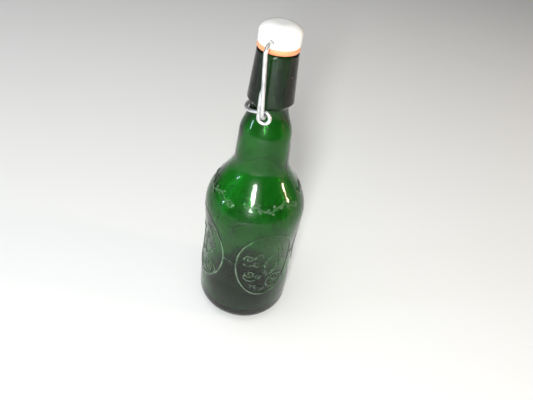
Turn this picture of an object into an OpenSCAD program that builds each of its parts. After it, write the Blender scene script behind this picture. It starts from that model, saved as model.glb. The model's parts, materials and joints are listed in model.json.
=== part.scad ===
// Swing top bottle: pressed and blown glass bottle, porcelain stopper with a rubber gasket,
// and a two-wire closure.  Millimetres, Z up, origin under the centre of the base.
// The closure's hinge axes run along Y, and the thumb hoop lies on the -X side.

/* [Body] */
// Greatest diameter, at the heel and at the shoulder
body_d = 77; // [60:0.1:100]
// Diameter at the waist between them
waist_d = 73.6; // [56:0.1:98]
// Height of the widest part of the heel
heel_h = 26; // [18:1:40]
// Height of the waist
waist_h = 74; // [50:1:84]
// Height of the widest part of the shoulder
body_h = 106; // [86:1:150]
// Radius of the rounded heel corner, across
heel_corner_r = 14; // [6:0.5:18]
// Height of the rounded heel corner
heel_corner_h = 13; // [5:0.5:18]
// Wall of the body
wall = 3.2; // [2:0.1:5]
// Radius of the inside floor corner, across
floor_corner_r = 12; // [6:0.5:16]
// Height of the inside floor corner
floor_corner_h = 8.5; // [5:0.5:14]
// Glass over the middle of the base
base_t = 5; // [3:0.5:9]
// Rise of the hollow under the base
punt_h = 7; // [3:0.5:14]
// Rise of the inside floor from its edge to its middle
floor_rise = 2.6; // [0:0.2:6]
// Width of the flat ring that the bottle stands on
foot_w = 3; // [1.5:0.5:6]

/* [Shoulder and neck] */
// Rise from the widest shoulder to the neck
shoulder_h = 46; // [34:1:70]
// How full the shoulder is, 1 being an even curve
shoulder_full = 1.12; // [1:0.01:1.3]
// Diameter at the foot of the neck
neck_d = 39.4; // [30:0.1:44]
// Diameter at the top of the bulged neck
neck_top_d = 37; // [30:0.1:44]
// Length of the bulged neck
neck_h = 18; // [10:1:60]
// Length of the throat that narrows to the groove
throat_h = 22; // [16:1:40]
// Diameter of the groove under the collar
groove_d = 25.8; // [22:0.1:28]
// Height of the groove
groove_h = 1.4; // [1:0.1:8]

/* [Collar and mouth] */
// Diameter of the collar at its lower edge
collar_d = 31.4; // [24:0.1:38]
// Diameter of the collar at the lip
lip_d = 26.6; // [21:0.1:31]
// Height of the collar from its lower edge to the lip
collar_h = 32.6; // [24:0.1:44]
// Height of the chamfer under the collar
collar_chamfer_h = 3.4; // [2:0.1:6]
// Diameter of the mouth's bore
bore_d = 16; // [13:0.1:19]
// Radius of the lip's rounded edges
lip_r = 1.4; // [0.5:0.1:2]
// Depth of the two pivot sockets in the collar
socket_depth = 2.2; // [1.2:0.1:3]
// Distance of the pivots below the lip
pivot_drop = 21.4; // [16:0.1:26]

/* [Raised ovals] */
// Width of each oval round the body
oval_w = 48; // [30:1:52]
// Height of each oval
oval_h = 69; // [40:1:74]
// Height of the ovals' centres
oval_z = 72.5; // [60:0.5:80]
// Width of the raised line
line_w = 1.6; // [0.8:0.1:3]
// How far the line stands out of the glass
line_t = 0.6; // [0.3:0.1:1]

/* [Stopper and gasket] */
// Diameter of the porcelain head
head_d = 26.8; // [20:0.1:32]
// Height of the porcelain head
head_h = 12.4; // [11:0.1:18]
// Height of the wire hole above the head's underside
hole_h = 3.8; // [3.4:0.1:7]
// Diameter of the shank that holds the gasket
shank_d = 11.2; // [8:0.1:12]
// Length of the tapered plug below the gasket
plug_l = 6; // [3:0.1:6]
// Diameter of the plug under the gasket
plug_d = 12.8; // [10:0.1:13.4]
// Diameter of the plug's tip
plug_tip_d = 9; // [6:0.1:10]
// Thickness of the gasket
gasket_t = 3.2; // [2:0.1:5]
// How far the gasket stands out past the lip
gasket_lap = 0.2; // [0:0.1:0.6]

/* [Wires] */
// Diameter of both wires
wire_d = 2.6; // [2:0.1:3.2]
// Depth of the bail's eyes below the pivots
eye_drop = 17; // [13:0.1:20]
// How far the eyes lie past the line of the pivots when shut
over_centre = 3.7; // [2:0.1:5]
// Radius of the lever's coiled eyes, to the middle of the wire
eye_r = 3.6; // [3.3:0.1:5]
// Bend of the bail beside the stopper
bail_bend_r = 5; // [3:0.1:7]
// Bend of the bail's ends into the eyes
end_bend_r = 3; // [2.8:0.1:3.2]
// Bend of the lever's ends into the sockets
pivot_bend_r = 2.4; // [1.6:0.1:3]
// Fall of the hoop towards the front, in degrees
hoop_fall = 18; // [10:1:24]

/* [Clearances] */
// Running clearance of a wire in a hole, on the radius
hinge_gap = 0.08; // [0.03:0.01:0.1]
// Gap from the lever's arms to the collar's edge
arm_gap = 0.7; // [0.4:0.1:2]
// Gap between the bail's legs and the lever's arms
leg_gap = 0.25; // [0.15:0.05:1]
// Gap between the turns of a coiled eye
coil_gap = 0.1; // [0.05:0.05:0.5]
// Gap from the hoop to the neck
hoop_gap = 0.25; // [0.2:0.05:1]
// Gap from a wire's end to the bottom of its socket
end_gap = 0.3; // [0.1:0.05:0.6]
// Room left between the gasket and the lip at the lowest point of the stopper's path
seat_margin = 0.04; // [0.03:0.01:0.1]

/* [Hidden] */
$fn = 96;
body_r = body_d / 2;
waist_r = waist_d / 2;
wire_r = wire_d / 2;
hole_r = wire_r + hinge_gap;
bore_r = bore_d / 2;
lip_out_r = lip_d / 2;
collar_r = collar_d / 2;
groove_r = groove_d / 2;

// Heights, stacked from the base.  The stopper dips a little as the eyes swing past the line of
// the pivots, so the gasket starts that far above the lip.
neck_z = body_h + shoulder_h;
throat_z = neck_z + neck_h;
groove_z = throat_z + throat_h;
chamfer_z = groove_z + groove_h;
collar_z = chamfer_z + collar_chamfer_h;
lip_z = collar_z + collar_h;
pivot_z = lip_z - pivot_drop;
eye_z = pivot_z - eye_drop;
leg_rise = eye_drop + pivot_drop + gasket_t + hole_h;
swing_share = eye_drop / leg_rise;
dip = pow(over_centre * (1 - swing_share), 2) / (2 * (eye_drop - leg_rise * pow(swing_share, 2)));
gasket_z = lip_z + dip + seat_margin;
head_z = gasket_z + gasket_t;
hole_z = head_z + hole_h;
head_top_z = head_z + head_h;

// Widths of the closure, each worked out from the collar outwards
arm_y = collar_r + arm_gap + wire_r;
hoop_y = arm_y - wire_d - coil_gap;
leg_y = arm_y + wire_d + leg_gap;
socket_y = collar_at(pivot_z) - socket_depth;

function ease(t) = (1 - cos(180 * max(0, min(1, t)))) / 2;
function mix(a, b, t) = a + (b - a) * t;
function span(z, low, high) = (z - low) / (high - low);

// Outside radius of the glass at height z, from the heel up to the groove
function shell_r(z) =
    z < heel_h ? body_r
    : z < waist_h ? mix(body_r, waist_r, ease(span(z, heel_h, waist_h)))
    : z < body_h ? mix(waist_r, body_r, ease(span(z, waist_h, body_h)))
    : z < neck_z
        ? mix(body_r, neck_d / 2, ease(pow(span(z, body_h, neck_z), shoulder_full)))
    : z < throat_z ? mix(neck_d / 2, neck_top_d / 2, span(z, neck_z, throat_z))
    : mix(neck_top_d / 2, groove_r, ease(span(z, throat_z, groove_z)));

// Inside radius, which runs into the bore as the throat closes
function bore_side_r(z) =
    z < throat_z ? shell_r(z) - wall
    : mix(neck_top_d / 2 - wall, bore_r, ease(span(z, throat_z, groove_z)));

// Outside radius of the tapered collar at height z
function collar_at(z) = mix(collar_r, lip_out_r, span(z, collar_z, lip_z - lip_r));

// Points of an arc about (x, z), with its own radius each way
function arc(x, z, rx, rz, from, to, steps) =
    [for (i = [0:steps]) let (a = mix(from, to, i / steps)) [x + rx * cos(a), z + rz * sin(a)]];

// Half section of the glass: up the outside, over the lip and down the inside
outer_steps = 54;
inner_steps = 36;
punt_steps = 8;
foot_r = body_r - heel_corner_r;
floor_z = punt_h + base_t;
floor_corner_z = floor_z - floor_rise + floor_corner_h;
outside = concat(
    [for (i = [0:punt_steps]) let (t = i / punt_steps)
        [(foot_r - foot_w) * t, punt_h * cos(90 * t)]],
    arc(foot_r, heel_corner_h, heel_corner_r, heel_corner_h, -90, 0, 12),
    [for (i = [1:outer_steps]) let (z = mix(heel_corner_h, groove_z, i / outer_steps))
        [shell_r(z), z]],
    [[groove_r, chamfer_z], [collar_r, collar_z]],
    arc(lip_out_r - lip_r, lip_z - lip_r, lip_r, lip_r, 0, 90, 6));
inside = concat(
    arc(bore_r + lip_r, lip_z - lip_r, lip_r, lip_r, 90, 180, 6),
    [for (i = [inner_steps:-1:1]) let (z = mix(floor_corner_z, groove_z, i / inner_steps))
        [bore_side_r(z), z]],
    arc(body_r - wall - floor_corner_r, floor_corner_z, floor_corner_r, floor_corner_h, 0, -90, 8),
    [[0, floor_z]]);

// The lever's wire in its own plane: the coil's centre, its two ends and the fall of the hoop
coil_x = over_centre;
coil_z = eye_z - (eye_r - wire_d - hinge_gap);
coil_from = atan2(pivot_z - coil_z, -coil_x) + acos(eye_r / norm([coil_x, pivot_z - coil_z]));
coil_to = 450 + hoop_fall;
arm_way = [-sin(coil_from), cos(coil_from)];
hoop_x0 = coil_x - eye_r * sin(hoop_fall);
hoop_z0 = coil_z + eye_r * cos(hoop_fall);
function hoop_z(x) = hoop_z0 + (x - hoop_x0) * tan(hoop_fall);
hoop_shift = max(0, shell_r(hoop_z(-hoop_y) - wire_r) + wire_r + hoop_gap - hoop_y);

// Middle line of the lever's wire, from one pivot bend to the other
bend_steps = 6;
coil_steps = 26;
hoop_steps = 12;
half_lever = concat(
    [[0, socket_y + end_gap, pivot_z]],
    [for (i = [0:bend_steps]) let (a = 90 * i / bend_steps, d = pivot_bend_r * (1 - cos(a)))
        [arm_way[0] * d, arm_y - pivot_bend_r * (1 - sin(a)), pivot_z + arm_way[1] * d]],
    [for (i = [0:coil_steps]) let (t = i / coil_steps, a = mix(coil_from, coil_to, t))
        [coil_x + eye_r * cos(a), mix(arm_y, hoop_y, t), coil_z + eye_r * sin(a)]],
    [for (i = [0:hoop_steps]) let (a = 90 * i / hoop_steps, x = -hoop_shift - hoop_y * sin(a))
        [x, hoop_y * cos(a), hoop_z(x)]]);
lever_path = concat(
    half_lever,
    [for (i = [len(half_lever) - 2:-1:0])
        [half_lever[i][0], -half_lever[i][1], half_lever[i][2]]]);

function unit(v) = v / norm(v);
function path_way(p, i) =
    i == 0 || i == len(p) - 1 ? [0, 1, 0] : unit(unit(p[i + 1] - p[i]) + unit(p[i] - p[i - 1]));

// A side direction for each point of a path, carried along it without twisting
function carried(p, i, side) =
    i == len(p) ? []
    : let (way = path_way(p, i), here = unit(side - (side * way) * way))
        concat([here], carried(p, i + 1, here));

// A round wire swept along the points of a path that starts and ends along Y
module swept_wire(path, r, sides = 16) {
    side_ways = carried(path, 0, [1, 0, 0]);
    rings = [for (i = [0:len(path) - 1], k = [0:sides - 1])
        let (u = side_ways[i], v = cross(path_way(path, i), u), a = 360 * k / sides)
        path[i] + r * (cos(a) * u + sin(a) * v)];
    last = len(rings) - sides;
    polyhedron(
        points = rings,
        faces = concat(
            [[for (k = [0:sides - 1]) k]],
            [for (i = [0:len(path) - 2], k = [0:sides - 1], half = [0, 1])
                let (a = i * sides + k, b = i * sides + (k + 1) % sides)
                half == 0 ? [a, a + sides, b + sides] : [a, b + sides, b]],
            [[for (k = [sides - 1:-1:0]) last + k]]));
}

// A straight wire along Y, from one y to another
module wire_along_y(from, to) {
    translate([0, from, 0]) rotate([-90, 0, 0]) cylinder(r = wire_r, h = to - from);
}

// A quarter bend of wire in the YZ plane, starting at the angle given
module wire_bend(y, z, r, from) {
    translate([0, y, z])
        rotate([90, 0, 90])
            rotate([0, 0, from])
                rotate_extrude(angle = 90) translate([r, 0]) circle(wire_r);
}

// The same thing on both sides
module both_sides() {
    children();
    mirror([0, 1, 0]) children();
}

function oval_point(a, inset) =
    [waist_r * sin((oval_w / 2 - inset) / waist_r * 180 / PI * cos(a)),
     oval_z + (oval_h / 2 - inset) * sin(a)];

// One oval line, as deep as the bottle is wide
module oval_line() {
    oval_steps = 48;
    rotate([90, 0, 90])
        linear_extrude(body_r)
            difference() {
                polygon([for (i = [0:oval_steps - 1]) oval_point(360 * i / oval_steps, 0)]);
                polygon([for (i = [0:oval_steps - 1]) oval_point(360 * i / oval_steps, line_w)]);
            }
}

// Four ovals and the short lines that link them, cut from a skin that stands off the glass
module raised_lines() {
    skin_steps = 14;
    low = oval_z - oval_h / 2 - line_w;
    high = oval_z + oval_h / 2 + line_w;
    link_l = 2 * PI * waist_r / 4 - oval_w + line_w;
    intersection() {
        rotate_extrude() polygon(concat(
            [for (i = [0:skin_steps]) let (z = mix(low, high, i / skin_steps))
                [min(shell_r(z) + line_t, body_r + line_t / 2), z]],
            [[waist_r - wall / 2, high], [waist_r - wall / 2, low]]));
        union() {
            for (a = [45:90:315]) rotate([0, 0, a]) oval_line();
            for (a = [0:90:270])
                rotate([0, 0, a])
                    translate([0, -link_l / 2, oval_z - line_w / 2])
                        cube([body_r, link_l, line_w]);
        }
    }
}

module bottle() {
    color([0.02, 0.2, 0.06])
        difference() {
            union() {
                rotate_extrude() polygon(concat(outside, inside));
                raised_lines();
            }
            both_sides()
                translate([0, socket_y, pivot_z])
                    rotate([-90, 0, 0]) cylinder(r = hole_r, h = collar_r);
        }
}

module stopper() {
    head_r = head_d / 2;
    crown_h = 5.4;
    top_flat_r = 4;
    edge_r = 0.8;
    flare = 1;
    color([0.93, 0.92, 0.88])
        difference() {
            rotate_extrude() polygon(concat(
                [[0, gasket_z - plug_l], [plug_tip_d / 2 - edge_r, gasket_z - plug_l]],
                [[plug_tip_d / 2, gasket_z - plug_l + edge_r], [plug_d / 2, gasket_z - edge_r]],
                [[plug_d / 2, gasket_z], [shank_d / 2, gasket_z], [shank_d / 2, head_z]],
                arc(head_r - edge_r, head_z + edge_r, edge_r, edge_r, -90, 0, 4),
                arc(top_flat_r, head_top_z - crown_h, head_r - top_flat_r, crown_h, 0, 90, 12),
                [[0, head_top_z]]));
            translate([0, 0, hole_z])
                rotate([90, 0, 0])
                    rotate_extrude() polygon([
                        [0, -head_r - flare], [hole_r + 2 * flare, -head_r - flare],
                        [hole_r, -head_r + flare], [hole_r, head_r - flare],
                        [hole_r + 2 * flare, head_r + flare], [0, head_r + flare]]);
        }
}

module gasket() {
    out_r = lip_out_r + gasket_lap;
    edge_bulge = 1.1;
    shank_gap = 0.05;
    color([0.85, 0.4, 0.2])
        rotate_extrude() polygon(concat(
            [[shank_d / 2 + shank_gap, gasket_z]],
            arc(out_r - edge_bulge, gasket_z + gasket_t / 2, edge_bulge, gasket_t / 2, -90, 90, 10),
            [[shank_d / 2 + shank_gap, head_z]]));
}

module bail() {
    height = norm([over_centre, hole_z - eye_z]);
    lean = atan2(over_centre, hole_z - eye_z);
    end_step = 0.05;
    tip_y = ceil((shell_r(eye_z - wire_r) + end_gap) / end_step) * end_step;
    color([0.72, 0.72, 0.7])
        translate([over_centre, 0, eye_z])
            rotate([0, -lean, 0]) {
                translate([0, 0, height])
                    wire_along_y(bail_bend_r - leg_y, leg_y - bail_bend_r);
                both_sides() {
                    wire_along_y(tip_y, leg_y - end_bend_r);
                    wire_bend(leg_y - end_bend_r, end_bend_r, end_bend_r, -90);
                    translate([0, leg_y, end_bend_r])
                        cylinder(r = wire_r, h = height - end_bend_r - bail_bend_r);
                    wire_bend(leg_y - bail_bend_r, height - bail_bend_r, bail_bend_r, 0);
                }
            }
}

module lever() {
    color([0.74, 0.74, 0.72]) swept_wire(lever_path, wire_r);
}

bottle();
stopper();
gasket();
bail();
lever();
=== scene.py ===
import bpy
import bmesh
import json
import math
import numpy as np
from mathutils import Vector, Matrix


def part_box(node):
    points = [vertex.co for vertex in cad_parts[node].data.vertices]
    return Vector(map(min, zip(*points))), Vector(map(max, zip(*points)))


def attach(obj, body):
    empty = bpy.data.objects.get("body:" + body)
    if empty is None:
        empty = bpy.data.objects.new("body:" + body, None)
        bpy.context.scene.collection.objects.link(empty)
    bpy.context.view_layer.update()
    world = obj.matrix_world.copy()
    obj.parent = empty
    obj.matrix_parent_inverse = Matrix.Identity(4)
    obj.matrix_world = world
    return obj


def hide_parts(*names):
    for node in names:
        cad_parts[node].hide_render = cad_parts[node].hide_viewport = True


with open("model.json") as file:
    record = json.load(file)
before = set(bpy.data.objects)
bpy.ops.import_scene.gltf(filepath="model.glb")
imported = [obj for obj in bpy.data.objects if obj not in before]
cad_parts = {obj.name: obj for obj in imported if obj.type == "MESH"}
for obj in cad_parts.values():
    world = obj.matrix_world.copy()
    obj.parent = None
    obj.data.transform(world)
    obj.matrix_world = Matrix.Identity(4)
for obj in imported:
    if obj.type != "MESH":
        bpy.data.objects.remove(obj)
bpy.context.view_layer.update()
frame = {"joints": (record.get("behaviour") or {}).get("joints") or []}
mm = 0.001
tau = 2 * math.pi
bottleLow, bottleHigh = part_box("bottle")
stopperLow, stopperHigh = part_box("stopper")
gasketLow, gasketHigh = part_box("gasket")
hinges = {joint["name"]: joint["pos_m"] for joint in frame["joints"]}
print("frame loaded")


class Port:
    # a shader socket that can be used in plain arithmetic
    def __init__(self, shader, socket):
        self.shader = shader
        self.socket = socket

    def math(self, operation, first, second):
        return self.shader.node("ShaderNodeMath", {"operation": operation}, {0: first, 1: second})

    def __add__(self, other):
        return self.math("ADD", self, other)

    def __radd__(self, other):
        return self.math("ADD", other, self)

    def __sub__(self, other):
        return self.math("SUBTRACT", self, other)

    def __rsub__(self, other):
        return self.math("SUBTRACT", other, self)

    def __mul__(self, other):
        return self.math("MULTIPLY", self, other)

    def __rmul__(self, other):
        return self.math("MULTIPLY", other, self)

    def __truediv__(self, other):
        return self.math("DIVIDE", self, other)

    def __rtruediv__(self, other):
        return self.math("DIVIDE", other, self)


class Shader:
    def __init__(self, name, look):
        self.material = bpy.data.materials.new(name)
        self.material.use_nodes = True
        self.tree = self.material.node_tree
        self.surface = self.tree.nodes["Principled BSDF"]
        self.output = self.tree.nodes["Material Output"]
        self.feed(self.surface, look)
        self.place = Port(self, self.tree.nodes.new("ShaderNodeTexCoord").outputs["Object"])

    def feed(self, node, inputs):
        for key, value in inputs.items():
            if isinstance(value, Port):
                self.tree.links.new(value.socket, node.inputs[key])
            else:
                node.inputs[key].default_value = value

    def node(self, kind, settings=None, inputs=None, out=0):
        made = self.tree.nodes.new(kind)
        for key, value in (settings or {}).items():
            if key == "stops":  # a colour ramp's stops, as (place, grey or colour)
                ramp = made.color_ramp
                while len(ramp.elements) < len(value):
                    ramp.elements.new(1.0)
                for stop, (place, shade) in zip(ramp.elements, value):
                    stop.position = place
                    stop.color = (shade, shade, shade, 1) if isinstance(shade, (int, float)) else shade
            else:
                setattr(made, key, value)
        self.feed(made, inputs or {})
        return Port(self, made.outputs[out])

    def noise(self, scale, detail=3.0, roughness=0.5, place=None):
        return self.node("ShaderNodeTexNoise", None,
                         {"Vector": place or self.place, "Scale": scale, "Detail": detail,
                          "Roughness": roughness})

    def ramp(self, value, *stops):
        return self.node("ShaderNodeValToRGB", {"stops": stops}, {"Fac": value})

    def blendColour(self, factor, first, second):
        made = self.tree.nodes.new("ShaderNodeMix")
        made.data_type = "RGBA"
        self.feed(made, {0: factor, 6: first, 7: second})
        return Port(self, made.outputs[2])

    def stretched(self, scale):
        return self.node("ShaderNodeVectorMath", {"operation": "MULTIPLY"}, {0: self.place, 1: scale})

    def split(self, axis):
        return self.node("ShaderNodeSeparateXYZ", None, {0: self.place}, out=axis)

    def bump(self, height, strength, distance, under=None):
        inputs = {"Height": height, "Strength": strength, "Distance": distance}
        if under:
            inputs["Normal"] = under
        return self.node("ShaderNodeBump", None, inputs)

    def finish(self, **surface):
        self.feed(self.surface, {key.replace("_", " "): value for key, value in surface.items()})
        return self.material


def ease(t):
    t = min(max(t, 0.0), 1.0)
    return (1 - math.cos(math.pi * t)) / 2


def mix(a, b, t):
    return a + (b - a) * t


def span(z, low, high):
    return (z - low) / (high - low)


def arc(x, z, across, up, start, end, steps):
    angles = [math.radians(mix(start, end, i / steps)) for i in range(steps + 1)]
    return [(x + across * math.cos(a), z + up * math.sin(a)) for a in angles]


def roundCorner(before, corner, after, radius, steps=5):
    # the arc that rounds one corner of an outline
    b, c, a = Vector(before), Vector(corner), Vector(after)
    toB, toA = (b - c).normalized(), (a - c).normalized()
    half = toB.angle(toA) / 2
    reach = radius / math.tan(half)
    middle = c + (toB + toA).normalized() * (radius / math.sin(half))
    start, end = c + toB * reach - middle, c + toA * reach - middle
    turn = start.angle(end)
    out = []
    for i in range(steps + 1):
        t = i / steps
        p = (start * math.sin((1 - t) * turn) + end * math.sin(t * turn)) / math.sin(turn)
        out.append(tuple(middle + p))
    return out


def addPiece(name, mesh, body, slotName, material, *nodes):
    piece = bpy.data.objects.new(name, mesh)
    bpy.context.scene.collection.objects.link(piece)
    piece.data.materials.clear()
    piece.data.materials.append(material)
    for face in piece.data.polygons:
        face.use_smooth = True
    if nodes:
        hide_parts(*nodes)
    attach(piece, body)
    print("made", name, len(piece.data.vertices), "points")
    return piece


def gridMesh(name, points, columns, lowCap, highCap):
    # rows of points closed round the axis, with the two ends brought to a point where asked
    rows = len(points) // columns
    total = [tuple(p) for p in points]
    faces = []
    for i in range(rows - 1):
        for j in range(columns):
            k = (j + 1) % columns
            faces.append((i * columns + j, i * columns + k, (i + 1) * columns + k, (i + 1) * columns + j))
    if lowCap is not None:
        total.append(lowCap)
        faces += [(len(total) - 1, (j + 1) % columns, j) for j in range(columns)]
    if highCap is not None:
        total.append(highCap)
        last = (rows - 1) * columns
        faces += [(len(total) - 1, last + j, last + (j + 1) % columns) for j in range(columns)]
    mesh = bpy.data.meshes.new(name)
    mesh.from_pydata(total, [], faces)
    mesh.update()
    return mesh


def lathe(name, outline, columns, lowCap=None, highCap=None):
    # a round piece from (radius, height) pairs in metres
    points = []
    for r, z in outline:
        points += [(r * math.cos(tau * j / columns), r * math.sin(tau * j / columns), z)
                   for j in range(columns)]
    return gridMesh(name, points, columns, lowCap, highCap)


def sweepWire(name, path, radius, sides=20, endRound=0.25 * mm):
    # a round wire along a list of points, with its cut ends slightly rounded
    points = [Vector(p) for p in path]
    first = (points[1] - points[0]).normalized()
    last = (points[-1] - points[-2]).normalized()
    points = ([points[0], points[0] + first * endRound] + points[1:-1]
              + [points[-1] - last * endRound, points[-1]])
    radii = [radius * 0.78] + [radius] * (len(points) - 2) + [radius * 0.78]
    side = Vector((1, 0, 0))
    rings = []
    for i, p in enumerate(points):
        ahead = (points[min(i + 1, len(points) - 1)] - p)
        behind = (p - points[max(i - 1, 0)])
        way = (ahead.normalized() + behind.normalized()).normalized()
        side = (side - way * side.dot(way)).normalized()
        other = way.cross(side)
        for k in range(sides):
            a = tau * k / sides
            rings.append(p + (side * math.cos(a) + other * math.sin(a)) * radii[i])
    mesh = gridMesh(name, rings, sides, tuple(points[0]), tuple(points[-1]))
    return mesh


glass = {
    "bodyR": min(bottleHigh[0], bottleHigh[1], -bottleLow[0], -bottleLow[1]),
    "waistR": 36.8 * mm,
    "heelZ": 26 * mm,
    "waistZ": 74 * mm,
    "bodyZ": 106 * mm,
    "shoulderFull": 1.12,
    "neckZ": 152 * mm,
    "neckR": 19.7 * mm,
    "throatZ": 170 * mm,
    "neckTopR": 18.5 * mm,
    "grooveZ": 192 * mm,
    "grooveR": 12.9 * mm,
    "chamferZ": 193.4 * mm,
    "collarZ": 196.8 * mm,
    "collarR": 15.7 * mm,
    "lipZ": bottleHigh[2],
    "lipR": 13.3 * mm,
    "lipRound": 1.4 * mm,
    "boreR": 8 * mm,
    "wall": 3.2 * mm,
    "cornerAcross": 14 * mm,
    "cornerUp": 13 * mm,
    "floorAcross": 12 * mm,
    "floorUp": 8.5 * mm,
    "footWidth": 3 * mm,
    "puntUp": 7 * mm,
    "floorZ": 12 * mm,
    "floorEdgeZ": 9.4 * mm,
    "pivotZ": hinges["lever_swing"][2],
    "socketR": 1.38 * mm,
    "socketDepth": 2.2 * mm,
    "columns": 480,
}
ovals = {
    "halfWidth": 24 * mm,
    "halfHeight": 34.5 * mm,
    "middleZ": 72.5 * mm,
    "lineWidth": 1.6 * mm,
    "lineHeight": 0.6 * mm,
    "fineWidth": 1.3 * mm,
    "fineHeight": 0.6 * mm,
    "linkWave": 0.9 * mm,
    "shoulderZ": 126 * mm,
}


def shellRadius(z):
    g = glass
    if z < g["heelZ"]:
        return g["bodyR"]
    if z < g["waistZ"]:
        return mix(g["bodyR"], g["waistR"], ease(span(z, g["heelZ"], g["waistZ"])))
    if z < g["bodyZ"]:
        return mix(g["waistR"], g["bodyR"], ease(span(z, g["waistZ"], g["bodyZ"])))
    if z < g["neckZ"]:
        return mix(g["bodyR"], g["neckR"], ease(span(z, g["bodyZ"], g["neckZ"]) ** g["shoulderFull"]))
    if z < g["throatZ"]:
        return mix(g["neckR"], g["neckTopR"], span(z, g["neckZ"], g["throatZ"]))
    return mix(g["neckTopR"], g["grooveR"], ease(span(z, g["throatZ"], g["grooveZ"])))


def boreSideRadius(z):
    g = glass
    if z < g["throatZ"]:
        return shellRadius(z) - g["wall"]
    return mix(g["neckTopR"] - g["wall"], g["boreR"], ease(span(z, g["throatZ"], g["grooveZ"])))


def collarRadius(z):
    g = glass
    return mix(g["collarR"], g["lipR"], span(z, g["collarZ"], g["lipZ"] - g["lipRound"]))


def steps(low, high, gap):
    count = max(1, math.ceil((high - low) / gap))
    return [mix(low, high, i / count) for i in range(1, count + 1)]


def glassOutline():
    g = glass
    footR = g["bodyR"] - g["cornerAcross"]
    puntR = footR - g["footWidth"]
    outside = [(puntR * t, g["puntUp"] * math.cos(math.pi / 2 * t)) for t in [i / 12 for i in range(1, 12)]]
    outside += [(puntR, 0.25 * mm), (puntR + 0.3 * mm, 0), (footR - 0.3 * mm, 0)]
    outside += arc(footR, g["cornerUp"], g["cornerAcross"], g["cornerUp"], -90, 0, 22)
    heights = steps(g["cornerUp"], 34 * mm, 1.5 * mm) + steps(34 * mm, 111 * mm, 0.5 * mm)
    heights += steps(111 * mm, 136 * mm, 0.55 * mm) + steps(136 * mm, g["grooveZ"], 1.0 * mm)
    outside += [(shellRadius(z), z) for z in heights]
    groove, chamfer = (g["grooveR"], g["chamferZ"]), (g["collarR"], g["collarZ"])
    lipSide = (g["lipR"], g["lipZ"] - g["lipRound"])
    outside += roundCorner((g["grooveR"], g["grooveZ"]), groove, chamfer, 0.8 * mm)
    outside += roundCorner(groove, chamfer, lipSide, 0.7 * mm, 6)
    pivotZ = g["pivotZ"]
    collarHeights = steps(g["collarZ"] + 0.6 * mm, pivotZ - 2.2 * mm, 1 * mm)
    collarHeights += steps(pivotZ - 2.2 * mm, pivotZ + 2.2 * mm, 0.16 * mm)
    collarHeights += steps(pivotZ + 2.2 * mm, lipSide[1] - 0.2 * mm, 1 * mm)
    outside += [(collarRadius(z), z) for z in collarHeights]
    outside += arc(g["lipR"] - g["lipRound"], lipSide[1], g["lipRound"], g["lipRound"], 0, 90, 8)
    inside = arc(g["boreR"] + g["lipRound"], lipSide[1], g["lipRound"], g["lipRound"], 90, 180, 8)
    cornerZ = g["floorEdgeZ"] + g["floorUp"]
    floorR = g["bodyR"] - g["wall"] - g["floorAcross"]
    inside += [(boreSideRadius(z), z) for z in reversed(steps(cornerZ, g["grooveZ"], 1.6 * mm))]
    inside += arc(floorR, cornerZ, g["floorAcross"], g["floorUp"], 0, -90, 14)
    inside += [(floorR * t, mix(g["floorZ"], g["floorEdgeZ"], t ** 1.6))
               for t in [1 - i / 8 for i in range(1, 8)]]
    return outside, inside


# each line below is a list of (across, up) points in millimetres from the middle of its oval

def spiral(x, y, start, end, small, large, count=26):
    out = []
    for i in range(count + 1):
        t = i / count
        a = math.radians(mix(start, end, t))
        r = mix(small, large, t)
        out.append((x + r * math.cos(a), y + r * math.sin(a)))
    return out


def curve(*knots, count=10):
    # a smooth line through a few points
    points = [np.array(p, float) for p in knots]
    points = [2 * points[0] - points[1]] + points + [2 * points[-1] - points[-2]]
    out = []
    for i in range(1, len(points) - 2):
        a, b, c, d = points[i - 1:i + 3]
        for k in range(count):
            t = k / count
            out.append(0.5 * (2 * b + (c - a) * t + (2 * a - 5 * b + 4 * c - d) * t * t
                              + (3 * b - a - 3 * c + d) * t ** 3))
    out.append(points[-2])
    return [tuple(p) for p in out]


def alongLine(line, gap):
    # evenly spaced points and headings along a line
    out = []
    carried = 0.0
    for (x0, y0), (x1, y1) in zip(line, line[1:]):
        length = math.hypot(x1 - x0, y1 - y0)
        place = gap - carried
        while place <= length:
            t = place / length
            out.append((mix(x0, x1, t), mix(y0, y1, t), math.atan2(y1 - y0, x1 - x0)))
            place += gap
        carried = (carried + length) % gap
    return out


def lineHeight(x, y, line, halfWidth, height):
    # a half-round bead along a line
    best = np.full(x.shape, 1e9)
    for (x0, y0), (x1, y1) in zip(line, line[1:]):
        dx, dy = x1 - x0, y1 - y0
        t = np.clip(((x - x0) * dx + (y - y0) * dy) / max(dx * dx + dy * dy, 1e-9), 0, 1)
        best = np.minimum(best, np.hypot(x - x0 - t * dx, y - y0 - t * dy))
    return height * np.sqrt(np.clip(1 - (best / halfWidth) ** 2, 0, 1))


def grainHeight(x, y, places, longR, shortR, height):
    # raised grains or leaves, each turned to its own heading
    best = np.zeros(x.shape)
    for px, py, turn in places:
        u = (x - px) * math.cos(turn) + (y - py) * math.sin(turn)
        v = -(x - px) * math.sin(turn) + (y - py) * math.cos(turn)
        d = (u / longR) ** 2 + (v / shortR) ** 2
        best = np.maximum(best, height * np.sqrt(np.clip(1 - d, 0, 1)))
    return best


def sprigPlaces(stem, gap, away, lean):
    out = []
    for i, (px, py, turn) in enumerate(alongLine(stem, gap)):
        side = 1 if i % 2 else -1
        out.append((px + away * math.cos(turn + side * 1.2), py + away * math.sin(turn + side * 1.2),
                    turn + side * lean))
    return out


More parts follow.
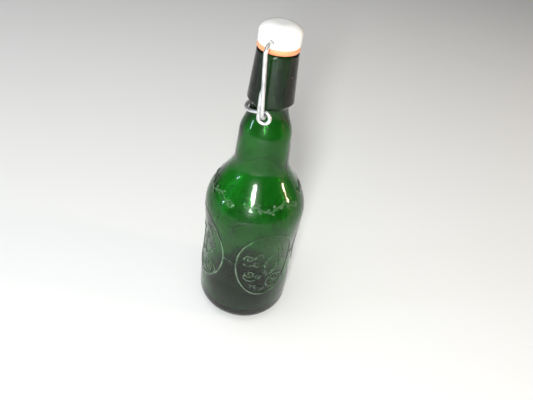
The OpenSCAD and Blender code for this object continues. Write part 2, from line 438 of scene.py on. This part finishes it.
def ovalRelief(x, y):
    # height of the raised lines at (x across, y up), in millimetres
    o = ovals
    wide = o["lineWidth"] / mm / 2
    tall = o["lineHeight"] / mm
    fine = o["fineWidth"] / mm / 2
    low = o["fineHeight"] / mm
    a, b = o["halfWidth"] / mm - wide, o["halfHeight"] / mm - wide
    ring = [(a * math.cos(tau * i / 96), b * math.sin(tau * i / 96)) for i in range(97)]
    roundel = [(9.5 + 7.2 * math.cos(tau * i / 40), -20.5 + 7.2 * math.sin(tau * i / 40)) for i in range(41)]
    inRoundel = np.hypot(x - 9.5, y + 20.5) < 7.2
    h = lineHeight(x, y, ring, wide, tall)
    h = np.where(inRoundel, 0, h)
    h = np.maximum(h, lineHeight(x, y, roundel, wide * 0.8, tall * 0.85))
    quarter = glass["waistR"] / mm * math.pi / 4
    wave = o["linkWave"] / mm
    gap = quarter - a
    right = [(a + gap * t, wave * math.sin(math.pi * t)) for t in [i / 12 for i in range(13)]]
    left = [(-a - gap * t, -wave * math.sin(math.pi * t)) for t in [i / 12 for i in range(13)]]
    for line in (right, left):
        h = np.maximum(h, lineHeight(x, y, line, wide * 0.9, tall * 0.9))
    petalTurns = [tau * i / 6 + 0.3 for i in range(6)]
    petals = [(9.5 + 3.0 * math.cos(t), -20.5 + 3.0 * math.sin(t), t) for t in petalTurns]
    h = np.maximum(h, grainHeight(x, y, petals, 2.2, 0.9, low))
    h = np.maximum(h, grainHeight(x, y, [(9.5, -20.5, 0)], 1.1, 1.1, low))
    stem = curve((4, -12), (9.5, -6), (12.5, 3), (11.5, 13), (6.5, 22))
    h = np.maximum(h, lineHeight(x, y, stem, fine * 0.8, low * 0.8))
    h = np.maximum(h, grainHeight(x, y, sprigPlaces(stem, 1.9, 1.5, 0.5), 1.35, 0.62, low))
    stem = curve((2, -13), (-0.5, -4), (1.5, 5), (5.5, 12))
    h = np.maximum(h, lineHeight(x, y, stem, fine * 0.8, low * 0.8))
    h = np.maximum(h, grainHeight(x, y, sprigPlaces(stem, 2.1, 1.5, 0.6), 1.3, 0.6, low))
    for line in (spiral(-13.5, 7.5, 100, 560, 0.8, 4.2),
                 curve((-9.3, 7.5), (-7.5, 12), (-4.5, 13.5), (-3, 10.5)),
                 spiral(-7.0, 2.0, -60, 300, 0.7, 2.6),
                 curve((-17.5, 1.5), (-14, -0.5), (-10, 0.5), (-6, -1.5)),
                 spiral(-11.5, -9.5, 260, -160, 0.8, 3.9),
                 curve((-15.4, -9.5), (-16, -14), (-12, -17.5), (-7, -16.5)),
                 spiral(-5.5, -12.5, 30, 390, 0.7, 2.4)):
        h = np.maximum(h, lineHeight(x, y, line, fine, low))
    stem = curve((-11, -21), (-5, -25.5), (1, -27.5))
    h = np.maximum(h, np.where(inRoundel, 0, lineHeight(x, y, stem, fine * 0.8, low * 0.8)))
    leaves = grainHeight(x, y, sprigPlaces(stem, 2.2, 1.4, 0.6), 1.3, 0.6, low)
    h = np.maximum(h, np.where(inRoundel, 0, leaves))
    return h


def shoulderRelief(x, y):
    # a short vine on the shoulder over each oval
    fine = ovals["fineWidth"] / mm / 2
    low = ovals["fineHeight"] / mm * 0.9
    stem = [(mix(-17, 17, i / 44), 2.0 * math.sin(tau * 1.75 * i / 44)) for i in range(45)]
    h = lineHeight(x, y, stem, fine, low)
    leaves = sprigPlaces(stem, 3.4, 2.2, 0.9)
    h = np.maximum(h, grainHeight(x, y, leaves, 1.7, 0.85, low))
    for sx, turn in ((-17, 1), (17, -1)):
        wound = -90 - 330 if sx < 0 else -90 + 330
        curl = spiral(sx, 2.4 * turn, -90 * turn, wound * turn, 2.4, 0.8)
        h = np.maximum(h, lineHeight(x, y, curl, fine, low))
    return h


def glassMesh():
    g = glass
    outside, inside = glassOutline()
    columns = g["columns"]
    quarterColumns = columns // 4
    turns = np.arange(columns) * tau / columns
    localTurn = np.arange(quarterColumns) * tau / columns - math.pi / 4
    profile = np.array(outside + inside)
    radius = np.repeat(profile[:, :1], columns, axis=1)
    height = np.repeat(profile[:, 1:], columns, axis=1)
    ahead = np.vstack([profile[1:], profile[-1:]])
    behind = np.vstack([profile[:1], profile[:-1]])
    way = ahead - behind
    normal = np.stack([way[:, 1], -way[:, 0]], axis=1) / np.linalg.norm(way, axis=1)[:, None]
    rise = np.zeros_like(radius)
    count = len(outside)
    z = profile[:count, 1]
    body = [i for i in range(count) if 36 * mm < z[i] < 110 * mm and profile[i, 0] > 30 * mm]
    x, y = np.meshgrid(localTurn * g["waistR"] / mm, (z[body] - ovals["middleZ"]) / mm)
    rise[body] = np.tile(ovalRelief(x, y), 4) * mm
    shoulder = [i for i in range(count) if 119 * mm < z[i] < 134 * mm and profile[i, 0] > 20 * mm]
    x, y = np.meshgrid(localTurn * 29, (z[shoulder] - ovals["shoulderZ"]) / mm * 1.25)
    rise[shoulder] = np.tile(shoulderRelief(x, y), 4) * mm
    seamTurn = np.abs((turns + math.pi / 2) % math.pi - math.pi / 2)
    seam = np.exp(-((seamTurn * 30) ** 2) / 0.35)  # the mould's joint, on the X axis
    seamRows = np.array([1.0 if g["cornerUp"] < h < g["grooveZ"] - 4 * mm else 0.0 for h in z])
    rise[:count] = np.maximum(rise[:count], seamRows[:, None] * seam[None, :] * 0.12 * mm)
    rise[body] = np.minimum(rise[body], g["bodyR"] + 0.25 * mm - radius[body])
    outer = radius[:count]
    wavy = 0.10 * mm * np.sin(3 * turns[None, :] + z[:, None] * 62) * np.sin(z[:, None] * 90 + 1.0)
    wavy = wavy + 0.05 * mm * np.sin(7 * turns[None, :] - z[:, None] * 150)
    settled = np.array([ease((h - 30 * mm) / (20 * mm)) * ease((g["grooveZ"] - 6 * mm - h) / (20 * mm))
                        for h in z])
    outer -= np.clip(wavy + 0.15 * mm, 0, 1) * settled[:, None]
    inner = radius[count:]
    innerZ = profile[count:, 1]
    thick = 0.35 * mm * np.sin(2 * turns[None, :] + innerZ[:, None] * 35) + 0.22 * mm * np.sin(
        5 * turns[None, :] - innerZ[:, None] * 110)
    thick = thick + 0.18 * mm * np.sin(innerZ[:, None] * 260 + 3 * turns[None, :])
    settled = np.array([ease((h - 16 * mm) / (12 * mm)) * ease((g["grooveZ"] - h) / (16 * mm))
                        for h in innerZ])
    inner += thick * settled[:, None]
    radius = np.vstack([outer, inner]) + rise * normal[:, :1]
    height = height + rise * normal[:, 1:]
    for side in (math.pi / 2, -math.pi / 2):  # the two sockets for the lever's ends
        across = (turns - side + math.pi) % tau - math.pi
        flat = g["collarR"] * np.sin(across)
        rows = np.abs(profile[:count, 1] - g["pivotZ"]) < 3 * mm
        rows &= profile[:count, 0] > g["grooveR"] + 0.5 * mm
        far = np.hypot(flat[None, :], (profile[:count, 1] - g["pivotZ"])[:, None])
        dip = 1 - np.clip((far - g["socketR"] - 0.02 * mm) / (0.3 * mm), 0, 1)
        dip = np.where((np.abs(across) < 0.6)[None, :] & rows[:, None], dip, 0)
        bottom = (collarRadius(g["pivotZ"]) - g["socketDepth"]) / np.maximum(np.cos(across), 0.5)
        radius[:count] = radius[:count] * (1 - dip) + bottom[None, :] * dip
    points = np.stack([radius * np.cos(turns), radius * np.sin(turns), height], axis=2).reshape(-1, 3)
    points[:, :2] = np.clip(points[:, :2], -g["bodyR"], g["bodyR"])
    mesh = gridMesh("glass", points.tolist(), columns, (0, 0, g["puntUp"]), (0, 0, g["floorZ"]))
    raised = np.clip(rise / (0.5 * mm), 0, 1).reshape(-1)
    mesh.attributes.new("raised", "FLOAT", "POINT").data.foreach_set("value", np.append(raised, (0, 0)))
    return mesh


def glassMaterial():
    look = {"Base Color": (0.93, 1, 0.94, 1), "Transmission Weight": 1.0, "IOR": 1.3, "Roughness": 0.03,
            "Coat Weight": 0.35, "Coat Roughness": 0.28, "Coat IOR": 1.35}
    m = Shader("green_glass", look)
    z = m.split(2)
    waves = m.noise(70, 2)
    ripple = m.noise(420, 3)
    pits = m.node("ShaderNodeTexVoronoi", None, {"Vector": m.place, "Scale": 160})
    seeds = m.ramp(pits, (0.0, 1.0), (0.09, 0.0))
    scuffBand = m.ramp(z * 10, (0.10, 0.0), (0.2, 1.0), (0.3, 0.0), (0.92, 0.0), (1.03, 1.0), (1.12, 0.0))
    scuffs = m.ramp(m.noise(900, 4, 0.7), (0.52, 0.0), (0.72, 1.0))
    worn = scuffBand * scuffs
    height = waves * 0.6 + ripple * 0.05 + seeds * 0.12
    normal = m.bump(height, 0.35, 0.0012)
    tint = m.blendColour(m.noise(55, 2), (0.86, 1, 0.88, 1), (0.96, 1, 0.93, 1))
    depth = m.node("ShaderNodeVolumeAbsorption", None, {"Color": (0.02, 0.76, 0.11, 1), "Density": 960.0})
    m.tree.links.new(depth.socket, m.output.inputs["Volume"])
    nicks = m.node("ShaderNodeTexVoronoi", None, {"Vector": m.stretched((1, 1, 0.45)), "Scale": 330})
    nicks = m.ramp(nicks, (0.0, 1.0), (0.055, 0.0)) * m.ramp(m.noise(38, 2), (0.48, 0.0), (0.58, 1.0))
    ridge = m.node("ShaderNodeAttribute", {"attribute_name": "raised"}, out=2)
    rubbed = m.ramp(ridge, (0.55, 0.0), (0.95, 1.0)) * m.ramp(m.noise(150, 3), (0.35, 0.15), (0.65, 1.0))
    film = m.ramp(m.noise(30, 4, 0.6), (0.4, 0.0), (0.75, 1.0)) * 0.02
    dull = m.node("ShaderNodeBsdfPrincipled", None,
                  {"Base Color": (0.34, 0.50, 0.33, 1), "Roughness": 0.45, "Normal": normal})
    share = rubbed * 0.34 + nicks * 0.55 + worn * 0.06 + film * 0.5
    blend = m.node("ShaderNodeMixShader", None, {0: share, 1: Port(m, m.surface.outputs[0]), 2: dull})
    m.tree.links.new(blend.socket, m.output.inputs["Surface"])
    return m.finish(Base_Color=tint, Roughness=0.02 + worn * 0.22 + m.noise(240) * 0.02, Normal=normal)


porcelain = {
    "headR": stopperHigh[0],
    "topZ": stopperHigh[2],
    "headZ": gasketHigh[2],
    "gasketZ": gasketLow[2],
    "tipZ": stopperLow[2],
    "shankR": 5.6 * mm,
    "plugR": 6.4 * mm,
    "tipR": 4.5 * mm,
    "edgeR": 0.8 * mm,
    "crownUp": 5.4 * mm,
    "flatR": 4 * mm,
    "holeZ": hinges["stopper_tilt"][2],
    "holeR": 1.38 * mm,
    "flare": 1 * mm,
}


def stopperMesh():
    p = porcelain
    tipEdge, top = p["edgeR"], p["topZ"]
    outline = [(p["tipR"] * 0.5, p["tipZ"])]
    outline += arc(p["tipR"] - tipEdge, p["tipZ"] + tipEdge, tipEdge, tipEdge, -90, 10, 6)
    outline += [(mix(p["tipR"], p["plugR"], t), mix(p["tipZ"] + tipEdge, p["gasketZ"] - 0.6 * mm, t))
                for t in (0.3, 0.6, 0.9, 1)]
    outline += [(p["plugR"], p["gasketZ"] - 0.05 * mm), (p["plugR"] - 0.2 * mm, p["gasketZ"])]
    outline += [(p["shankR"], p["gasketZ"]), (p["shankR"], p["headZ"]), (p["headR"] - 2 * mm, p["headZ"])]
    outline += arc(p["headR"] - p["edgeR"], p["headZ"] + p["edgeR"], p["edgeR"], p["edgeR"], -90, 0, 8)
    outline += [(p["headR"], z) for z in steps(p["headZ"] + p["edgeR"], top - p["crownUp"], 0.9 * mm)]
    outline += arc(p["flatR"], top - p["crownUp"], p["headR"] - p["flatR"], p["crownUp"], 0, 90, 26)[1:]
    outline += [(p["flatR"] * t, top) for t in (0.8, 0.5, 0.25)]
    mesh = lathe("porcelain", outline, 144, (0, 0, p["tipZ"]), (0, 0, top))
    half, r = p["headR"], p["holeR"]
    drillLine = [(r + 3 * p["flare"], -half - 2 * p["flare"])]
    drillLine += [(r + p["flare"] * (1 - math.sin(a)), -half + p["flare"] * (1 - math.cos(a)) * 0.9)
                  for a in [math.pi / 2 * i / 8 for i in range(9)]]
    drillLine += [(x, -y) for x, y in reversed(drillLine)]
    drillMesh = lathe("drill", drillLine, 48, (0, 0, drillLine[0][1]), (0, 0, drillLine[-1][1]))
    drill = bpy.data.objects.new("drill", drillMesh)
    drill.data.transform(Matrix.Translation((0, 0, p["holeZ"])) @ Matrix.Rotation(math.pi / 2, 4, "X"))
    body = bpy.data.objects.new("stopperBlank", mesh)
    for o in (drill, body):
        bpy.context.scene.collection.objects.link(o)
    cut = body.modifiers.new("hole", "BOOLEAN")
    cut.object = drill
    cut.operation = "DIFFERENCE"
    cut.solver = "EXACT"
    done = bpy.data.meshes.new_from_object(body.evaluated_get(bpy.context.evaluated_depsgraph_get()))
    for o in (drill, body):
        bpy.data.objects.remove(o)
    return done


def porcelainMaterial():
    look = {"Base Color": (0.9, 0.88, 0.84, 1), "Roughness": 0.18, "IOR": 1.5, "Coat Weight": 0.6,
            "Coat Roughness": 0.06, "Subsurface Weight": 0.05, "Subsurface Scale": 0.002}
    m = Shader("glazed_porcelain", look)
    cloud = m.noise(90, 4)
    cloud = m.ramp(cloud, (0.35, 0.0), (0.65, 1.0))
    cast = m.blendColour(cloud, (0.90, 0.885, 0.845, 1), (0.94, 0.935, 0.92, 1))
    specks = m.node("ShaderNodeTexVoronoi", None, {"Vector": m.place, "Scale": 420})
    specks = m.ramp(specks, (0.0, 1.0), (0.075, 0.0))
    rare = m.ramp(m.noise(300), (0.60, 0.0), (0.66, 1.0))
    cast = m.blendColour(specks * rare * 0.6, cast, (0.35, 0.27, 0.2, 1))
    bare = m.ramp(m.split(2) * 4, (0.90, 1.0), (0.922, 0.0))  # the unglazed plug, under the gasket
    cast = m.blendColour(bare * 0.8, cast, (0.82, 0.79, 0.72, 1))
    normal = m.bump(m.noise(160, 2) * 0.7 + m.noise(900, 2) * 0.06, 0.2, 0.0006)
    return m.finish(Base_Color=cast, Roughness=0.14 + m.noise(500) * 0.08 + bare * 0.4, Normal=normal)


rubber = {
    "lowZ": gasketLow[2],
    "highZ": gasketHigh[2],
    "outR": gasketHigh[0],
    "holeR": 5.65 * mm,
    "bulge": 1.1 * mm,
}


def gasketMesh():
    r = rubber
    half = (r["highZ"] - r["lowZ"]) / 2
    middle = r["lowZ"] + half
    edge = arc(r["outR"] - r["bulge"], middle, r["bulge"], half, -90, 90, 20)
    outline = [(r["holeR"], r["lowZ"] + 0.2 * mm), (r["holeR"] + 0.2 * mm, r["lowZ"])]
    outline += [(mix(r["holeR"], edge[0][0], t), r["lowZ"]) for t in (0.3, 0.6, 0.85)]
    outline += [(x - 0.10 * mm * math.exp(-((z - middle) / (0.16 * mm)) ** 2), z)  # with a faint mould line
                for x, z in edge]
    outline += [(mix(r["holeR"], edge[0][0], t), r["highZ"]) for t in (0.85, 0.6, 0.3)]
    outline += [(r["holeR"] + 0.2 * mm, r["highZ"]), (r["holeR"], r["highZ"] - 0.2 * mm)]
    mesh = lathe("rubber", outline, 160)
    rows = len(outline)
    columns = 160
    last = (rows - 1) * columns
    made = bmesh.new()
    made.from_mesh(mesh)
    made.verts.ensure_lookup_table()
    for j in range(columns):
        k = (j + 1) % columns
        made.faces.new([made.verts[i] for i in (last + j, last + k, k, j)])
    bmesh.ops.recalc_face_normals(made, faces=made.faces)
    made.to_mesh(mesh)
    made.free()
    return mesh


def rubberMaterial():
    look = {"Roughness": 0.55, "IOR": 1.45, "Sheen Weight": 0.15, "Sheen Roughness": 0.5}
    m = Shader("salmon_rubber", look)
    z = m.split(2)
    # painted light: the gasket is coloured lighter towards its top face, as if lit from above, and darker
    # towards its lower face
    paintedTopLight = m.ramp((z - rubber["lowZ"]) / (rubber["highZ"] - rubber["lowZ"]), (0.25, 0.0), (0.9, 1.0))
    cast = m.blendColour(paintedTopLight, (0.80, 0.22, 0.085, 1), (0.86, 0.34, 0.15, 1))
    cast = m.blendColour(m.ramp(m.noise(220, 4), (0.35, 0.0), (0.75, 1.0)) * 0.5, cast, (0.90, 0.42, 0.24, 1))
    dust = m.ramp(m.noise(1400, 3, 0.7), (0.58, 0.0), (0.75, 1.0))
    cast = m.blendColour(dust * 0.25, cast, (0.93, 0.70, 0.55, 1))
    normal = m.bump(m.noise(1800, 4) * 0.8 + m.noise(300) * 0.5, 0.35, 0.0003)
    return m.finish(Base_Color=cast, Roughness=0.5 + m.noise(600) * 0.2, Normal=normal)


wires = {
    "radius": 1.3 * mm,
    "armY": glass["collarR"] + 2 * mm,
    "hoopY": glass["collarR"] - 0.7 * mm,
    "legY": glass["collarR"] + 4.85 * mm,
    "pivotZ": glass["pivotZ"],
    "eyeZ": hinges["bail_swing"][2],
    "eyeX": hinges["bail_swing"][0],
    "eyeR": 3.6 * mm,
    "hingeGap": 0.08 * mm,
    "bailBend": 5 * mm,
    "endBend": 3 * mm,
    "pivotBend": 2.4 * mm,
    "hoopFall": math.radians(18),
    "hoopGap": 0.25 * mm,
    "endGap": 0.3 * mm,
    "endStep": 0.05 * mm,
}


def leverPath():
    w = wires
    coilX, coilZ = w["eyeX"], w["eyeZ"] - (w["eyeR"] - 2 * w["radius"] - w["hingeGap"])
    reach = math.hypot(coilX, w["pivotZ"] - coilZ)
    coilFrom = math.atan2(w["pivotZ"] - coilZ, -coilX) + math.acos(w["eyeR"] / reach)
    coilTo = math.radians(450) + w["hoopFall"]
    armX, armZ = -math.sin(coilFrom), math.cos(coilFrom)
    half = [(0, collarRadius(w["pivotZ"]) - glass["socketDepth"] + w["endGap"], w["pivotZ"])]
    for i in range(13):
        a = math.pi / 2 * i / 12
        d = w["pivotBend"] * (1 - math.cos(a))
        half.append((armX * d, w["armY"] - w["pivotBend"] * (1 - math.sin(a)), w["pivotZ"] + armZ * d))
    for i in range(61):
        t = i / 60
        a = mix(coilFrom, coilTo, t)
        y = mix(w["armY"], w["hoopY"], t)
        half.append((coilX + w["eyeR"] * math.cos(a), y, coilZ + w["eyeR"] * math.sin(a)))
    hoopX = coilX - w["eyeR"] * math.sin(w["hoopFall"])
    hoopZ = coilZ + w["eyeR"] * math.cos(w["hoopFall"])
    hoopLow = hoopZ - (w["hoopY"] + hoopX) * math.tan(w["hoopFall"])
    hoopShift = max(0, shellRadius(hoopLow - w["radius"]) + w["radius"] + w["hoopGap"] - w["hoopY"])
    for i in range(25):
        a = math.pi / 2 * i / 24
        x = -hoopShift - w["hoopY"] * math.sin(a)
        half.append((x, w["hoopY"] * math.cos(a), hoopZ + (x - hoopX) * math.tan(w["hoopFall"])))
    return half + [(x, -y, z) for x, y, z in reversed(half[:-1])]


def bailPath():
    w = wires
    holeZ = porcelain["holeZ"]
    height = math.hypot(w["eyeX"], holeZ - w["eyeZ"])
    lean = math.atan2(w["eyeX"], holeZ - w["eyeZ"])
    endY = shellRadius(w["eyeZ"] - w["radius"]) + w["endGap"]
    half = [(math.ceil(endY / w["endStep"]) * w["endStep"], 0)]
    for i in range(13):
        a = math.radians(-90 + 90 * i / 12)
        half.append((w["legY"] - w["endBend"] * (1 - math.cos(a)), w["endBend"] * (1 + math.sin(a))))
    for i in range(17):
        a = math.radians(90 * i / 16)
        half.append((w["legY"] - w["bailBend"] * (1 - math.cos(a)),
                     height - w["bailBend"] * (1 - math.sin(a))))
    flat = half + [(-y, up) for y, up in reversed(half)]
    return [(w["eyeX"] - up * math.sin(lean), y, w["eyeZ"] + up * math.cos(lean)) for y, up in flat]


def wireMaterial(name, shade):
    look = {"Metallic": 0.9, "Roughness": 0.42, "Specular IOR Level": 0.5, "Anisotropic": 0.3}
    m = Shader(name, look)
    bright = m.ramp(m.noise(260, 4, 0.6), (0.3, 0.0), (0.7, 1.0))
    cast = m.blendColour(bright, (0.50 * shade, 0.50 * shade, 0.51 * shade, 1),
                         (0.86 * shade, 0.86 * shade, 0.85 * shade, 1))
    bloom = m.ramp(m.noise(700, 5, 0.65), (0.55, 0.0), (0.72, 1.0))
    cast = m.blendColour(bloom * 0.55, cast, (0.90, 0.90, 0.88, 1))
    grime = m.ramp(m.noise(120, 3), (0.62, 0.0), (0.8, 1.0))
    cast = m.blendColour(grime * 0.5, cast, (0.24, 0.21, 0.18, 1))
    drawn = m.noise(300, 2, 0.5, m.stretched((7, 7, 0.6)))
    normal = m.bump(drawn * 0.5 + m.noise(2200, 3) * 0.35, 0.25, 0.0002)
    return m.finish(Base_Color=cast, Metallic=0.92 - bloom * 0.3,
                    Roughness=0.30 + bloom * 0.22 + m.noise(500) * 0.12, Normal=normal)


greenGlass = glassMaterial()
addPiece("bottle_glass", glassMesh(), "bottle", "bottle_glass", greenGlass, "bottle")
stopperPiece = addPiece("porcelain_stopper", stopperMesh(), "stopper", "porcelain", porcelainMaterial(),
                        "stopper")
stopperPiece.data.set_sharp_from_angle(angle=math.radians(40))
gasketPiece = addPiece("gasket_ring", gasketMesh(), "stopper", "gasket_rubber", rubberMaterial(), "gasket")
gasketPiece.data.set_sharp_from_angle(angle=math.radians(50))
addPiece("lever_wire", sweepWire("leverWire", leverPath(), wires["radius"]), "lever", "zinc_wire",
         wireMaterial("lever_zinc", 1.0), "lever")
addPiece("bail_wire", sweepWire("bailWire", bailPath(), wires["radius"]), "bail", "zinc_wire",
         wireMaterial("bail_zinc", 0.95), "bail")


studio = {
    "floorSize": 8,
    "floorDrop": 0.2 * mm,
    "floorColour": (0.93, 0.93, 0.92, 1),
    "skyColour": (1, 1, 1, 1),
    "skyStrength": 0.16,
    "view": "Standard",
    "lights": {  # azimuth from the front towards +X, elevation, distance, size, power, colour
        "key": (14, 22, 1.3, 0.26, 22, (0.97, 1, 0.98)),
        "overhead": (-30, 78, 1.8, 1.6, 13, (1, 1, 1)),
        "warm_side": (107, 8, 1.4, 0.14, 5, (1, 0.72, 0.5)),
        "cool_side": (-53, 6, 1.6, 0.18, 3, (0.6, 0.8, 1)),
    },
}
camera = {
    "azimuth": 20,
    "distance": 265.4 * mm,
    "height": 335.0 * mm,
    "yaw": 1.89,
    "pitch": 40.36,
    "roll": 9.99,
    "lens": 30.33,
}


def makeStudio():
    s = studio
    mesh = bpy.data.meshes.new("floor")
    half = s["floorSize"] / 2
    corners = [(x * half, y * half, -s["floorDrop"]) for x, y in ((-1, -1), (1, -1), (1, 1), (-1, 1))]
    mesh.from_pydata(corners, [], [(0, 1, 2, 3)])
    floor = bpy.data.objects.new("floor", mesh)
    bpy.context.scene.collection.objects.link(floor)
    m = Shader("pale_floor", {"Roughness": 0.75})
    cast = m.blendColour(m.noise(6, 3), s["floorColour"], (0.95, 0.95, 0.945, 1))
    mesh.materials.append(m.finish(Base_Color=cast))
    world = bpy.data.worlds.new("sky")
    world.use_nodes = True
    world.node_tree.nodes["Background"].inputs[0].default_value = s["skyColour"]
    world.node_tree.nodes["Background"].inputs[1].default_value = s["skyStrength"]
    bpy.context.scene.world = world
    bpy.context.scene.view_settings.view_transform = s["view"]
    aim = Vector((0, 0, 0.13))
    for name, (azimuth, elevation, distance, size, power, colour) in s["lights"].items():
        lamp = bpy.data.lights.new(name, "AREA")
        lamp.shape = "DISK"
        lamp.size = size
        lamp.energy = power
        lamp.color = colour
        holder = bpy.data.objects.new(name, lamp)
        bpy.context.scene.collection.objects.link(holder)
        a, e = math.radians(azimuth), math.radians(elevation)
        way = Vector((math.sin(a) * math.cos(e), -math.cos(a) * math.cos(e), math.sin(e)))
        holder.location = aim + way * distance
        holder.rotation_euler = way.to_track_quat("Z", "Y").to_euler()


def makeCamera():
    c = camera
    yaw, pitch, roll, azimuth = (math.radians(c[k]) for k in ("yaw", "pitch", "roll", "azimuth"))
    turned = Matrix.Rotation(azimuth, 3, "Z")
    forward = turned @ Vector((math.sin(yaw) * math.cos(pitch), math.cos(yaw) * math.cos(pitch),
                               -math.sin(pitch)))
    right = forward.cross(Vector((0, 0, 1))).normalized()
    up = right.cross(forward)
    rolledRight = right * math.cos(roll) + up * math.sin(roll)
    rolledUp = up * math.cos(roll) - right * math.sin(roll)
    lens = bpy.data.cameras.new("camera")
    lens.lens = c["lens"]
    lens.sensor_width = 36
    lens.sensor_fit = "HORIZONTAL"
    lens.clip_start = 0.01
    holder = bpy.data.objects.new("camera", lens)
    bpy.context.scene.collection.objects.link(holder)
    eye = turned @ Vector((0, -c["distance"], c["height"]))
    axes = Matrix((rolledRight, rolledUp, -forward)).transposed().to_4x4()
    holder.matrix_world = Matrix.Translation(eye) @ axes
    bpy.context.scene.camera = holder


makeStudio()
makeCamera()
print("floor, light and camera set")
